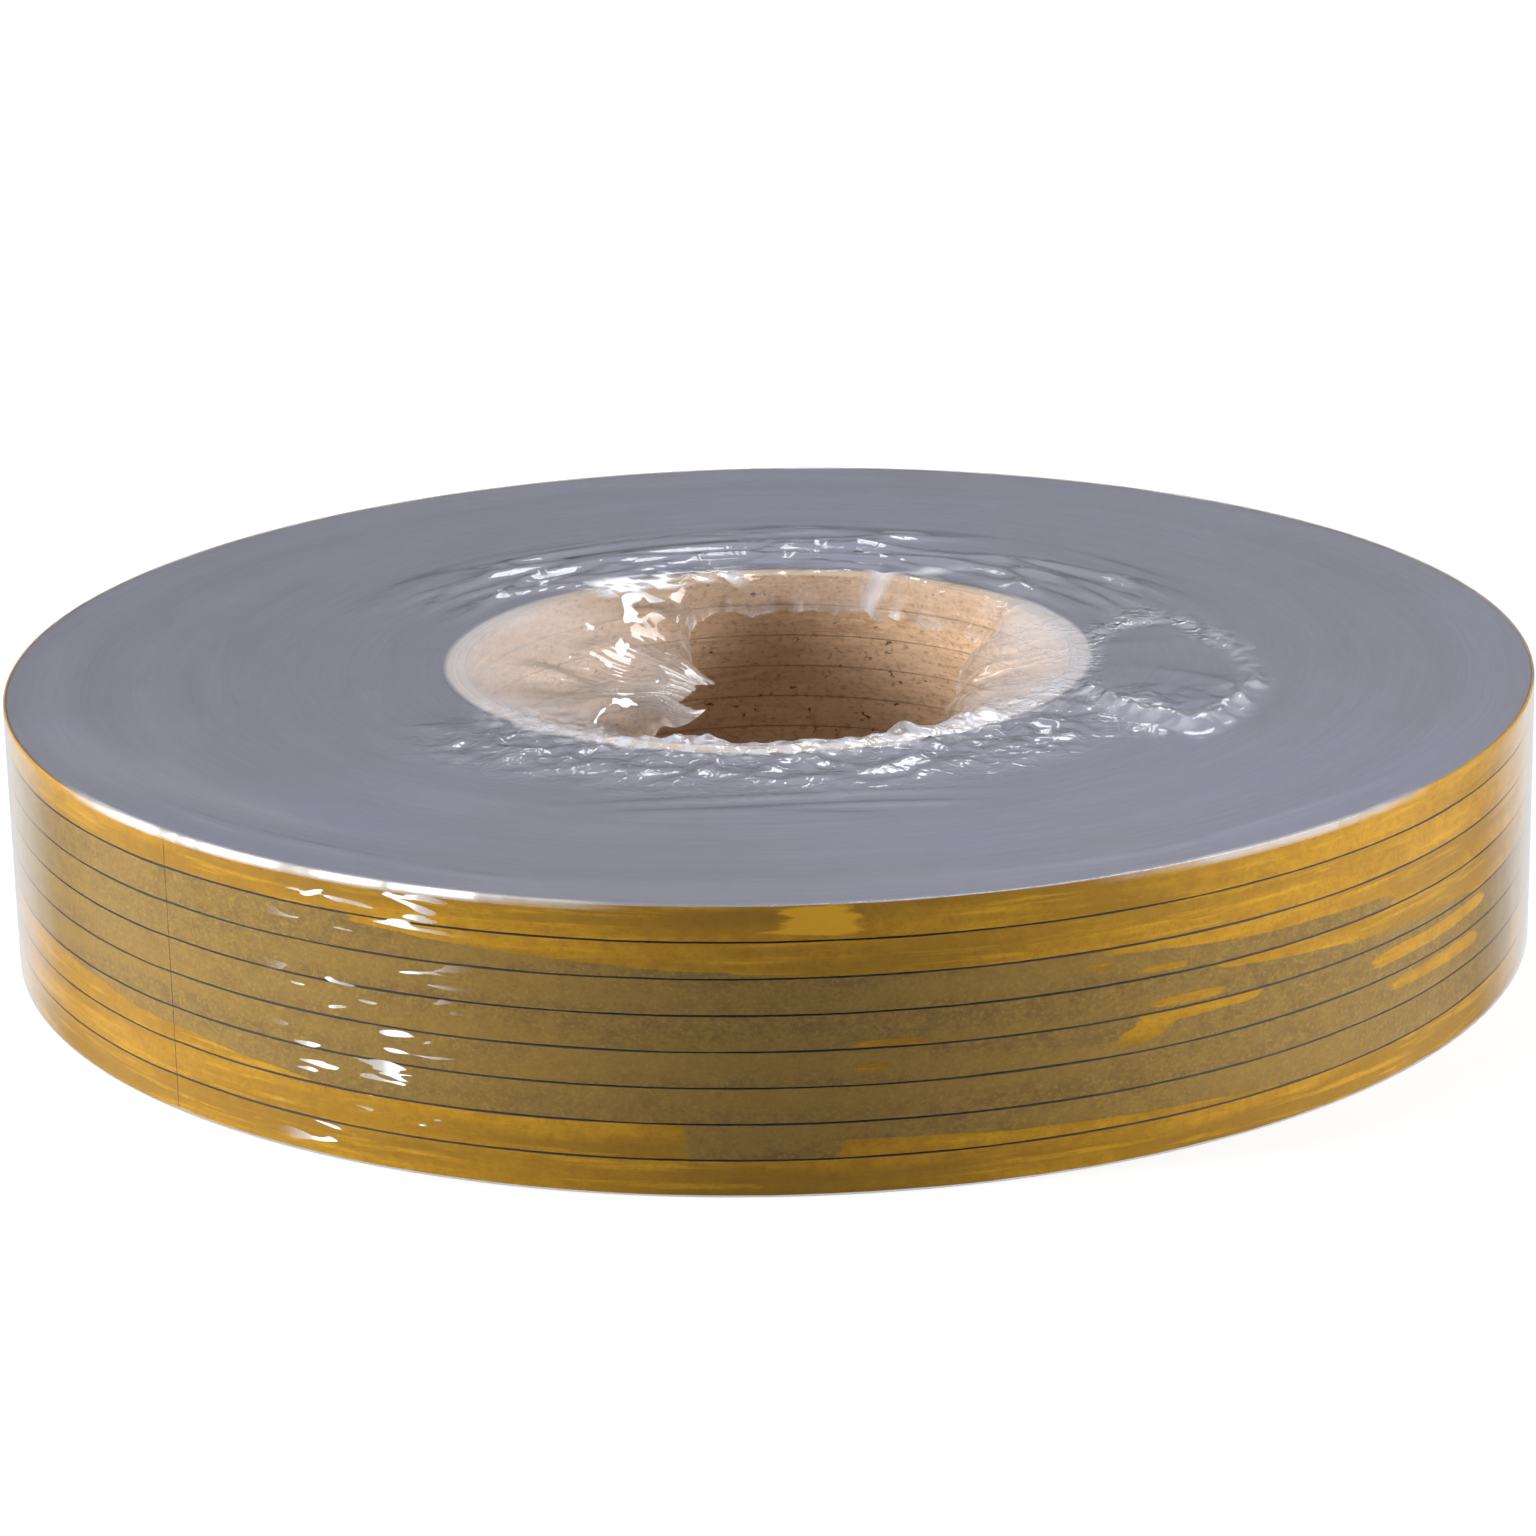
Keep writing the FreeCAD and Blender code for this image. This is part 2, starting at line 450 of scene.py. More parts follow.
def tape_edge_material():
    """The wound strip seen on edge: slate grey, ringed by its layers, with soft patches and scratches."""
    material, tree = new_material("wound_tape_edge")
    spot = place(tree)
    layers = ring_noise(tree, spot.distance, 3.2, 5.0, 0.7)
    bands = ring_noise(tree, spot.distance, 0.16, 3.0)
    patches = noise_texture(tree, spot.point, 0.018, 4.0, 0.55)
    scratches = wrapped_noise(tree, spot, PACK_OUTSIDE, 0.035, 1.0, 4.0, 0.7, 0.8)
    dust = noise_texture(tree, spot.point, 2.3, 2.0, 0.6)
    grey = mix_colour(tree, remap(tree, patches, 0.35, 0.68), (0.186, 0.181, 0.228), (0.202, 0.205, 0.282))
    # The last tint is the liner of the turn before the last, which shows where the strip ends.
    grey = tinted(
        tree,
        grey,
        (bands, 0.3, 0.75, 0.35, (0.155, 0.150, 0.186)),
        (layers, 0.25, 0.8, 0.4, (0.226, 0.230, 0.286)),
        (scratches, 0.66, 0.80, 0.25, (0.29, 0.295, 0.34)),
        (dust, 0.74, 0.80, 0.35, (0.36, 0.36, 0.39)),
        (spot.distance, PACK_OUTSIDE - 0.1, PACK_OUTSIDE - 0.05, 1.0, LINER_DARK),
    )
    surface(tree, "BsdfPrincipled", {
        "Base Color": grey,
        "Metallic": 0.15,
        "Roughness": remap(tree, scratches, 0.3, 0.8, 0.42, 0.6),
        "Normal": bump(tree, weighted(tree, (layers, 0.8), (scratches, 0.2)), 0.035),
    })
    return material


def lifted_level(tree, spot):
    """How far the liner is off its adhesive, with the outline of each lifted place made uneven."""
    level = attribute(tree, "lifted")
    for swing, *scales in ((0.9, 0.05, 1.1, 3.0, 0.5), (0.5, 0.35, 1.8, 5.0, 0.7)):
        uneven = wrapped_noise(tree, spot, LINER_OUTSIDE, *scales)
        level = plus(tree, level, times(tree, maths(tree, "SUBTRACT", uneven, 0.5), swing))
    return level


def liner_material():
    """Yellow glassine over grey adhesive: olive where they have wetted together, golden over air."""
    material, tree = new_material("yellow_release_liner")
    spot = place(tree)
    # Each roll reads its noise at a height of its own, so that nothing runs on from roll to roll.
    above_floor = maths(tree, "SUBTRACT", spot.height, CORE_FLOOR)
    roll = maths(tree, "FLOOR", maths(tree, "DIVIDE", above_floor, PITCH))
    own_height = plus(tree, spot.height, times(tree, roll, OWN_HEIGHT_STEP))
    spot = spot._replace(height=own_height)
    level = lifted_level(tree, spot)
    golden_share = remap(tree, level, 0.38, 0.62)
    tone = wrapped_noise(tree, spot, LINER_OUTSIDE, 0.022, 0.22, 3.0, 0.5)
    streaks = wrapped_noise(tree, spot, LINER_OUTSIDE, 0.05, 1.0, 5.0, 0.65)
    mottle = wrapped_noise(tree, spot, LINER_OUTSIDE, 0.45, 0.6, 6.0, 0.7)
    fibre = wrapped_noise(tree, spot, LINER_OUTSIDE, 1.7, 2.2, 3.0, 0.7)
    mottled = remap(tree, mottle, 0.3, 0.7)
    golden = tinted(
        tree,
        mix_colour(tree, mottled, (0.43, 0.211, 0.010), (0.57, 0.298, 0.014)),
        (tone, 0.38, 0.64, 0.75, (0.30, 0.156, 0.014)),
        (streaks, 0.50, 0.68, 0.7, (0.68, 0.364, 0.014)),
        (fibre, 0.50, 0.36, 0.3, (0.26, 0.125, 0.012)),
        (level, 1.15, 1.35, 1.0, (0.80, 0.42, 0.02)),
    )
    olive = tinted(
        tree,
        mix_colour(tree, mottled, LINER_DARK, (0.302, 0.186, 0.045)),
        (fibre, 0.52, 0.66, 0.42, (0.48, 0.295, 0.050)),
        (fibre, 0.47, 0.34, 0.45, (0.150, 0.098, 0.030)),
        (tone, 0.40, 0.66, 0.5, (0.345, 0.208, 0.040)),
    )
    surface(tree, "BsdfPrincipled", {
        "Base Color": mix_colour(tree, golden_share, olive, golden),
        "Roughness": remap(tree, golden_share, 0.0, 1.0, 0.46, 0.38),
        "Specular IOR Level": 0.2,
        "Normal": bump(tree, weighted(tree, (mottle, 0.5), (fibre, 0.35), (golden_share, 0.3)), 0.07),
    })
    return material


def foil_material():
    """Copper foil with rolling lines, dulled in places."""
    material, tree = new_material("copper_foil")
    spot = place(tree)
    rolled = wrapped_noise(tree, spot, PACK_OUTSIDE, 0.05, 6.0, 4.0, 0.6)
    dull = noise_texture(tree, spot.point, 0.12, 4.0, 0.6)
    colour = mix_colour(tree, remap(tree, dull, 0.35, 0.7), (0.80, 0.36, 0.20), (0.52, 0.24, 0.14))
    surface(tree, "BsdfPrincipled", {
        "Base Color": colour,
        "Metallic": 1.0,
        "Roughness": remap(tree, rolled, 0.3, 0.7, 0.22, 0.4),
        "Normal": bump(tree, rolled, 0.01),
    })
    return material


def film_normal(tree, point, crinkled):
    """The film's surface normal: gentle slack everywhere, and ripples and creases where it is crinkled."""
    ripples = noise_texture(tree, point, 0.55, 3.0, 0.55, 0.6)
    slack = noise_texture(tree, point, 0.08, 2.0, 0.5)
    sway = add(tree, "TexNoise", {"Vector": point, "Scale": 0.25, "Detail": 2.0}).outputs["Color"]
    bent = vector_maths(tree, "ADD", point, scaled(tree, sway, 6.0))
    cells = add(tree, "TexVoronoi", {"Vector": bent, "Scale": 0.36}, feature="DISTANCE_TO_EDGE")
    creases = remap(tree, cells.outputs["Distance"], 0.0, 0.20, 1.0, 0.0)
    normal = bump(tree, slack, 0.12)
    normal = bump(tree, times(tree, ripples, crinkled), 0.18, normal)
    return bump(tree, times(tree, creases, crinkled), 0.26, normal)


def film_glare(tree, point, outside):
    """Painted glints: white upright blotches in the web, and small dashes on the side, where lamps would
    glint.
    """
    dashes = stretched_noise(tree, point, (0.13, 0.13, 0.75), 1.0, 0.4)
    blotches = stretched_noise(tree, point, (0.13, 0.055, 0.16), 2.0, 1.0)
    glare = add(tree, "Mix", {0: outside, 2: blotches, 3: dashes}).outputs[0]
    start = remap(tree, outside, 0.0, 1.0, 0.595, 0.635)
    shape = remap(tree, glare, start, plus(tree, start, 0.015))
    return times(tree, shape, attribute(tree, "puckered"))


def film_material():
    """Film that mirrors at a low angle and is clear otherwise, milky where it gathers, and white where
    highlights and glints are painted.
    """
    material, tree = new_material("clear_shrink_film")
    spot = place(tree)
    crinkled = attribute(tree, "crinkled")
    normal = film_normal(tree, spot.point, crinkled)
    outside = remap(tree, spot.distance, CORE_BORE - 3.0, CORE_BORE + 1.0)
    white = maths(tree, "MAXIMUM", attribute(tree, "milky"), film_glare(tree, spot.point, outside))
    # The milk is warmer in the web, where it is partly a painted reflection, and at the rim, and near white
    # where it is a painted highlight or glint.
    milk_colour = tinted(
        tree,
        mix_colour(tree, outside, (0.57, 0.53, 0.525), (0.50, 0.50, 0.55)),
        (spot.distance, RIM - 1.5, RIM - 0.5, 1.0, (0.58, 0.55, 0.53)),
        (white, 0.62, 0.85, 1.0, (0.95, 0.95, 0.96)),
    )
    clear = add(tree, "BsdfTransparent", {"Color": (0.985, 0.987, 0.99, 1.0)}).outputs[0]
    milk = add(tree, "BsdfDiffuse", {"Color": milk_colour, "Normal": normal}).outputs[0]
    body = add(tree, "MixShader", {0: white, 1: clear, 2: milk}).outputs[0]
    facing = add(tree, "LayerWeight", {"Blend": 0.5, "Normal": normal}).outputs["Facing"]
    grazing = times(tree, maths(tree, "POWER", facing, 5.0), 0.96)
    head_on = remap(tree, crinkled, 0.0, 0.6, 0.018, 0.04)
    mirror = maths(tree, "ADD", grazing, head_on, clamp=True)
    gloss = {"Color": (1.0, 1.0, 1.0, 1.0), "Roughness": 0.07, "Normal": normal}
    shine = add(tree, "BsdfGlossy", gloss).outputs[0]
    seen = add(tree, "MixShader", {0: mirror, 1: body, 2: shine}).outputs[0]
    # Lamps and bounced light pass the film without its crinkles, which saves most of the rendering time.
    path = add(tree, "LightPath").outputs
    unseen = maths(tree, "MAXIMUM", path["Is Shadow Ray"], path["Is Diffuse Ray"])
    plain = add(tree, "BsdfTransparent", {"Color": (0.93, 0.93, 0.93, 1.0)}).outputs[0]
    surface(tree, "MixShader", {0: unseen, 1: seen, 2: plain})
    return material


def floor_material():
    """A plain pale studio floor, lit up for the camera only, so that it doesn't light the stack."""
    material, tree = new_material("studio_floor")
    seen = add(tree, "LightPath").outputs["Is Camera Ray"]
    glow = remap(tree, place(tree).distance, 250.0, 900.0, 0.74, 0.95)
    surface(tree, "BsdfPrincipled", {
        "Base Color": (0.32, 0.32, 0.32, 1.0),
        "Roughness": 0.9,
        "Specular IOR Level": 0.1,
        "Emission Color": (1.0, 1.0, 1.0, 1.0),
        "Emission Strength": times(tree, seen, glow),
    })
    return material


# ---------- core rings

CORE_COLUMNS = 288
CORE_WALL_ROWS = 7
CORE_SHARP_DEGREES = 30.0
RING_GAP = 0.015
BORE_BEVEL = 0.1
OUTSIDE_BEVEL = 0.05
PLIES = 4
PLY_STEP = 0.68
PLY_START = BORE_BEVEL + 0.05
WALL_DENT = 0.045
KNIFE_DENT = 0.02


def core_profile(floor):
    """Radius and height round a ring's cross-section: bore wall, bevels, faces and outside."""
    low, high = floor + RING_GAP, floor + PITCH - RING_GAP
    wall = []
    for row in range(CORE_WALL_ROWS):
        share = row / (CORE_WALL_ROWS - 1)
        wall.append((CORE_BORE, low + BORE_BEVEL + share * (high - low - 2 * BORE_BEVEL)))
    plies = [CORE_BORE + PLY_START + step * PLY_STEP for step in range(PLIES)]
    top = [(radius, high) for radius in plies]
    bottom = [(radius, low) for radius in reversed(plies)]
    outside = [(CORE_OUTSIDE, high - OUTSIDE_BEVEL), (CORE_OUTSIDE, low + OUTSIDE_BEVEL)]
    return wall + top + outside + bottom


def core_ring(number, material):
    """One slice of the kraft tube, a little uneven where the knife and the plies left it so."""
    profile = core_profile(roll_floor(number))
    middle = roll_floor(number) + PITCH / 2
    points = []
    for azimuth in azimuths(CORE_COLUMNS):
        x, y = compass(azimuth)
        for radius, height in profile:
            dent = round_waves(azimuth, 9.0, height * 0.7 + number * 5.0)
            knife = waves(x * 30.0 + number * 7.0, y * 30.0, radius * 1.5)
            if radius == CORE_BORE:
                radius += WALL_DENT * abs(dent)
            inwards = -1.0 if height > middle else 1.0
            height += inwards * KNIFE_DENT * abs(knife)
            points.append(polar(radius, azimuth, height))
    faces = tube_faces(CORE_COLUMNS, len(profile), closed=True)
    name, body, node = f"core_{number}", f"roll_{number}", f"core_ring_{number}"
    finish_piece(name, points, faces, material, body, node, CORE_SHARP_DEGREES)


# ---------- wound packs

PACK_COLUMNS = 256
FACE_RINGS = 72
HIDDEN_RINGS = 10
LAYER_STEP = 0.035
LAYER_MEMORY = 0.75
CORE_CLEARANCE = 0.02


def pack_face(height, rings, sign, seed):
    """Radius and height of a pack's end face, whose layers stand a few hundredths high or low in rings."""
    draw = random.Random(seed)
    inside = CORE_OUTSIDE + CORE_CLEARANCE
    face = []
    level = 0.0
    for ring in range(rings + 1):
        radius = inside + (PACK_OUTSIDE - inside) * ring / rings
        level = LAYER_MEMORY * level + draw.uniform(-LAYER_STEP, LAYER_STEP)
        face.append((radius, height - sign * abs(level)))
    return face


def wound_pack(number, material):
    """The interleaved turns of foil and liner, as one ring whose end faces show the layers."""
    low = tape_floor(number)
    top_rings = FACE_RINGS if number == ROLLS else HIDDEN_RINGS
    low_rings = FACE_RINGS if number == 1 else HIDDEN_RINGS
    top_face = pack_face(low + TAPE_WIDTH, top_rings, 1.0, number)
    low_face = pack_face(low, low_rings, -1.0, number + ROLLS)
    profile = top_face + low_face[::-1]
    points = []
    for azimuth in azimuths(PACK_COLUMNS):
        points += [polar(radius, azimuth, height) for radius, height in profile]
    faces = tube_faces(PACK_COLUMNS, len(profile), closed=True)
    name, body, node = f"pack_{number}", f"roll_{number}", f"wound_tape_{number}"
    finish_piece(name, points, faces, material, body, node)


# ---------- last turns

TURN_COLUMNS = 720
LINER_ROWS = 8
FOIL_ROWS = 2
EDGE_WANDER = 0.06
CROWN = 0.018
PUCKER = 0.012
TAIL_LENGTH = 3.0
TAIL_SQUEEZE = 0.25

# Where air lifts the liner off its adhesive, by roll, read from the photo in front and made up behind: the
# azimuths from and to, the lower edge's share of the width at each of them, and the upper edge's.
WHOLE = (0, 0, 1.0, 1.0)
LIFTED = {
    8: [(20, 150, *WHOLE), (170, 360, *WHOLE), (270.5, 275.5, 0.15, 0.15, 0.95, 0.95)],
    7: [(240, 272, 0.85, 0.0, 1.0, 1.0), (272, 5, *WHOLE), (30, 90, 0.0, 0.4, 1.0, 1.0)],
    6: [
        (291, 293, 0.40, 0.40, 0.65, 0.65), (292, 304, 0.85, 0.55, 1.0, 1.0),
        (304, 318, 0.55, 0.35, 1.0, 1.0), (295, 299, 0.10, 0.10, 0.30, 0.30), (318, 20, *WHOLE),
        (60, 110, 0.3, 0.5, 1.0, 1.0),
    ],
    5: [
        (275, 280, 0.0, 0.0, 0.22, 0.26), (296, 302, 0.08, 0.08, 0.35, 0.35),
        (301, 314, 0.85, 0.45, 1.0, 1.0), (314, 330, 0.45, 0.10, 1.0, 1.0), (330, 8, *WHOLE),
        (100, 140, 0.0, 0.0, 0.6, 0.8),
    ],
    4: [
        (275.2, 277.6, 0.30, 0.30, 0.62, 0.62), (295, 305, 0.70, 0.75, 1.0, 1.0),
        (293.5, 297.0, 0.15, 0.35, 0.6, 0.9), (316, 332, 0.35, 0.45, 0.75, 0.9),
        (40, 75, 0.2, 0.4, 1.0, 1.0),
    ],
    3: [
        (170, 205, *WHOLE), (205, 237, 0.0, 0.0, 1.0, 0.08), (318, 331, 0.45, 0.50, 0.85, 0.9),
        (90, 130, 0.0, 0.0, 1.0, 0.5),
    ],
    2: [(165, 264, *WHOLE), (274, 307, 0.0, 0.0, 0.55, 0.08), (340, 100, *WHOLE)],
    1: [(165, 145, *WHOLE)],
}
EDGE_SOFT_DEGREES = 1.6
EDGE_SOFT_SHARE = 0.12
PROUD_SHARE = 0.5


def lifted_here(number, azimuth, share):
    """How far the liner is off its adhesive at a place: 0 is wetted down and 1 or more is lifted."""
    total = 0.0
    for start, end, low_first, low_last, high_first, high_last in LIFTED[number]:
        length = turn_from(end, start)
        past = turn_from(azimuth, start)
        if length < 180.0 and past >= 180.0:
            past -= 360.0
        along = min(1.0, max(0.0, past / length))
        low_here = low_first + (low_last - low_first) * along
        high_here = high_first + (high_last - high_first) * along
        here = soft_step(past, 0.0, EDGE_SOFT_DEGREES) * (1.0 - soft_step(past, length, EDGE_SOFT_DEGREES))
        if low_here > 0.0:
            here *= soft_step(share, low_here, EDGE_SOFT_SHARE)
        if high_here < 1.0:
            here *= 1.0 - soft_step(share, high_here, EDGE_SOFT_SHARE)
        total += here
    return 1.0 + PROUD_SHARE * (total - 1.0) if total > 1.0 else total


def spiral_radius(outside, turned):
    """Radius of a last turn that has dropped by one strip thickness after a whole turn."""
    return outside - STRIP_THICK * turned / 360.0


def strip_edges(number, azimuth):
    """Heights of a strip's lower and upper edges, which wander a few hundredths where the knives ran."""
    edges = []
    for level, seed in ((0.0, number * 3.1), (TAPE_WIDTH, number * 3.1 + 50.0)):
        wander = round_waves(azimuth, 9.0, seed) + 0.5 * round_waves(azimuth, 40.0, seed)
        edges.append(tape_floor(number) + level + EDGE_WANDER * wander)
    return edges


def last_turn(number, kind, outside, thick, rows, material):
    """One web of the strip's last turn, as a thin band that spirals in by its own thickness."""
    sweep = 360.0 - TAIL_GAP
    points, lifted = [], []
    for column in range(TURN_COLUMNS):
        turned = sweep * column / (TURN_COLUMNS - 1)
        azimuth = TAIL_AZIMUTH - turned
        radius = spiral_radius(outside, turned)
        underside = spiral_radius(LINER_OUTSIDE, turned) - STRIP_THICK
        # The film presses the very end of the strip flat.
        from_end = math.radians(turned) * radius
        squeeze = TAIL_SQUEEZE + (1.0 - TAIL_SQUEEZE) * ease(from_end, 0.0, TAIL_LENGTH)
        low, high = strip_edges(number, azimuth)
        section = []
        for row in range(rows):
            share = row / (rows - 1)
            crown = CROWN * (1.0 - (2.0 * share - 1.0) ** 8)
            pucker = PUCKER * waves(azimuth * 0.7, share * 2.0, number * 9.0)
            section.append((radius - CROWN + crown + pucker, low + share * (high - low)))
            lifted.append(lifted_here(number, azimuth % 360.0, share))
        section += [(radius - thick, high), (radius - thick, low)]
        lifted += [1.0, 1.0]
        for level, height in section:
            points.append(polar(underside + (level - underside) * squeeze, azimuth, height))
    faces = tube_faces(TURN_COLUMNS, rows + 2, closed=False)
    node = f"{kind}_turn_{number}"
    piece = finish_piece(f"{kind}_{number}", points, faces, material, f"roll_{number}", node)
    if kind == "liner":
        store(piece, "lifted", lifted)


# ---------- shrink film

# The film, as laid over the rolls.
FILM_THICK = 0.05
FILM_COLUMNS = 572
FILM_SHARP_DEGREES = 80.0
CAD_FILM_WALL = 0.15
FACE_CLEARANCE = 0.07
SIDE_CLEARANCE = 0.14
FILM_CORNER = 0.4
CORNER_RADIUS = RIM - CAD_FILM_WALL + SIDE_CLEARANCE - FILM_CORNER
TAUT_FACE = TOP - 0.08
CORNER_HEIGHT = TAUT_FACE - FILM_CORNER
LOW_FACE = 0.06
LOW_CORNER_HEIGHT = FILM_CORNER + 0.05
LOW_LIP = 5.0

# Where each kind of film begins or ends.
WEB_START = CORE_OUTSIDE + 0.25
CRUMPLE_REACH = 60.0
TAUT_START = 66.0
SHOULDER_REACH = 9.0

# How high its wrinkles stand.
BACK_ARC_HEIGHT = 0.7
FRONT_CRUMPLE_HEIGHT = 0.62
RIPPLE_HEIGHT = 0.25
SHOULDER_HEIGHT = 0.16
SIDE_WRINKLE_HEIGHT = 0.03

# Shared parts of the circle: azimuths from and to, and how soft the ends are.
FRONT_CRUMPLES = (205.0, 345.0, 25.0)
BACK_ARCS = (8.0, 165.0, 30.0)

# A finish is how crinkled the film is, how milky, with painted highlights in the milk, and where glints are
# painted on it.
PLAIN_FILM = (0.0, 0.0, 0.0)


def web_edge(azimuth):
    """Radius and height, from the core's top, of the web's torn edge."""
    torn = 1.3 * round_waves(azimuth, 3.1, 4.0) + 0.9 * round_waves(azimuth, 9.0, 8.0)
    torn += 0.5 * round_waves(azimuth, 26.0, 2.0)
    left = sector(azimuth, 100.0, 246.0, 30.0)
    right = sector(azimuth, 302.0, 44.0, 42.0)
    front = sector(azimuth, 236.0, 318.0, 12.0)
    radius = 36.9 - 25.0 * left - 12.5 * right + 0.9 * front
    radius += torn * (0.25 + 1.0 * left + 1.2 * right)
    height = -4.7 + 1.2 * torn * (1.0 - left) - 3.3 * left - 1.5 * right + 3.0 * front
    return radius, height


def web_spans(azimuth):
    """0 where the web only lies against the tube's wall, and 1 where it spans part of the bore."""
    edge_radius, _ = web_edge(azimuth)
    return ease(CORE_BORE - edge_radius, 2.0, 9.0)


def on_web(azimuth, share):
    """Radius and height on the web, from its torn edge at 0 to the outside of the core at 1."""
    edge_radius, edge_height = web_edge(azimuth)
    spans = web_spans(azimuth)
    bend_radius, bend_height = 36.8 - 8.0 * spans, 0.9 - 1.1 * spans
    before, middle, after = (1 - share) ** 2, 2 * share * (1 - share), share**2
    radius = before * edge_radius + middle * bend_radius + after * WEB_START
    height = before * edge_height + middle * bend_height + after * 0.08
    return radius, height


def web_crumple(azimuth, share, radius):
    """How far the web is pushed along its normal: broad folds over the bore, small ones at the wall."""
    x, y = flat_point(radius, azimuth)
    spans = web_spans(azimuth)
    loose = ease(1.0 - share, 0.0, 0.6)
    inside = ease(CORE_BORE - radius, 5.0, 13.0)
    bent_x = x + 3.0 * waves(x * 0.06, y * 0.06, 7.0)
    fold = crease(bent_x * 0.07, y * 0.030, 3.3) ** 2
    dimple = crease(bent_x * 0.10, y * 0.075, 13.0)
    broad = 2.2 * fold + 0.9 * dimple + 1.4 * waves(x * 0.08, y * 0.08, 23.0)
    tight = 1.5 * crease(azimuth * 0.05, share * 0.8, 2.0) ** 2
    tight += 0.6 * crease(azimuth * 0.16, share * 1.3, 5.0)
    lumps = waves(x * 0.22, y * 0.3, 61.0) + 0.5 * waves(x * 0.6, y * 0.6, 62.0)
    rim = ease(radius, 35.0, 37.5) * sector(azimuth, 205.0, 340.0, 15.0) * 0.5 * lumps
    return spans * loose * (0.10 + 0.90 * inside) * broad + (1.0 - spans) * loose * tight + rim


def arcs_at_the_back(azimuth, out):
    """Long low folds that run round the core, a few millimetres apart."""
    x, y = compass(azimuth)
    wander = 2.6 * round_waves(azimuth, 1.8, 3.0)
    folds = crease(x * 1.3, y * 1.3, (out + wander) * 0.15) ** 4
    folds += 0.7 * crease(x * 2.0, y * 2.0, (out - 1.5 * wander) * 0.24 + 9.0) ** 5
    return folds + 0.3 * round_waves(azimuth, 2.0, out * 0.12 + 19.0)


def crumples_in_front(x, y):
    """Facets and short creases that run every way."""
    bent_x = x + 3.0 * waves(x * 0.10, y * 0.10, 5.0)
    bent_y = y + 3.0 * waves(x * 0.10, y * 0.10, 15.0)
    folds = 0.7 * facets(bent_x * 0.17, bent_y * 0.14, 3.0)
    folds += 0.7 * crease(bent_x * 0.13, bent_y * 0.15, 7.0) ** 3
    return folds + 0.28 * crease(bent_x * 0.30, bent_y * 0.34, 17.0) ** 2


def loop_reach(x, y):
    """0 in the middle of the slack loop at the right of the core, and 1 on its outline."""
    sway = 1.5 * waves(x * 0.1, y * 0.1, 3.0)
    across = (x - 49.5 + sway) / 10.5
    along = (y + 10.0 + 2.0 * sway) / 23.0
    return math.hypot(across, along) + 0.10 * waves(x * 0.2, y * 0.2, 4.0)


def loop_edge(x, y):
    """1 on the slack loop's outline, falling to 0 on either side."""
    return bell(loop_reach(x, y) - 1.0, 0.16)


def slack_loop(x, y):
    """Height of the flat loop of slack film at the right of the core, with a raised outline."""
    reach = loop_reach(x, y)
    near_end = ease(-y, 10.0, 26.0)
    jags = crease(x * 0.28, y * 0.22, 71.0)
    outline = bell(reach - 1.0, 0.09) * (0.35 + near_end * (0.3 + 1.0 * jags))
    folds = crease(x * 0.05, y * 0.05, 21.0) ** 2
    inside = (1.0 - ease(reach, 0.7, 1.05)) * (0.1 + 0.18 * folds + 0.4 * near_end * jags)
    return outline + inside


def face_wrinkles(azimuth, radius):
    """Height of the film above the taut face: arcs at the back, crumples in front, a loop at the right."""
    x, y = flat_point(radius, azimuth)
    near = ease(radius, WEB_START, WEB_START + 2.0)
    back = sector(azimuth, *BACK_ARCS) * (1.0 - ease(radius, 54.0, 64.0))
    reach = CRUMPLE_REACH + 4.0 * round_waves(azimuth, 4.0, 12.0)
    front = sector(azimuth, *FRONT_CRUMPLES) * (1.0 - ease(radius, reach - 11.0, reach))
    ripples = sector(azimuth, 240.0, 300.0, 20.0) * ease(radius, 54.0, 59.0)
    ripples *= 1.0 - ease(radius, 66.0, 72.0)
    height = BACK_ARC_HEIGHT * back * arcs_at_the_back(azimuth, radius - WEB_START)
    height += FRONT_CRUMPLE_HEIGHT * front * crumples_in_front(x, y)
    height += RIPPLE_HEIGHT * ripples * crease(x * 0.015, y * 0.24, 30.0) ** 2
    return near * (height + slack_loop(x, y))


def shoulder_height(azimuth, inside):
    """Height of the low ridge a few millimetres inside the rim at the front."""
    sides = sector(azimuth, 205.0, 262.0, 18.0) + sector(azimuth, 283.0, 328.0, 14.0)
    centre = 6.0 + 1.4 * round_waves(azimuth, 4.0, 31.0)
    ridge = bell(inside - centre, 0.7)
    return SHOULDER_HEIGHT * sides * ridge * (0.6 + 0.8 * abs(round_waves(azimuth, 9.0, 32.0)))


def side_wrinkles(azimuth, height):
    """How far the side film stands off the rolls: nearly taut everywhere."""
    return SIDE_WRINKLE_HEIGHT * (1.0 + round_waves(azimuth, 5.0, height * 0.05))


def raggedness(x, y):
    """A patchy share from 0 to 1 that breaks up the milk and the painted highlights of torn and gathered
    film.
    """
    return ease(waves(x * 0.55, y * 0.55, 90.0) + 0.5 * waves(x * 1.3, y * 1.3, 91.0), -0.30, 0.42)


def painted_fold_highlights(azimuth, radius):
    """Painted highlights on the folds over the core's back edge: one leans at the right, a tangle at the
    left.
    """
    x, y = flat_point(radius, azimuth)
    leaning = bell(azimuth - 66.0 + 1.2 * (radius - CORE_BORE), 2.2) * (1.0 - ease(radius, 44.0, 48.0))
    leaning *= 0.6 + 0.4 * abs(waves(x * 0.9, y * 0.9, 36.0))
    tangle = sector(azimuth, 92.0, 130.0, 8.0) * ease(crease(x * 0.22, y * 0.50, 35.0), 0.55, 0.80)
    tangle *= ease(radius, 35.5, 36.5) * (1.0 - ease(radius, 41.5, 44.0))
    return 0.80 * max(leaning, tangle)


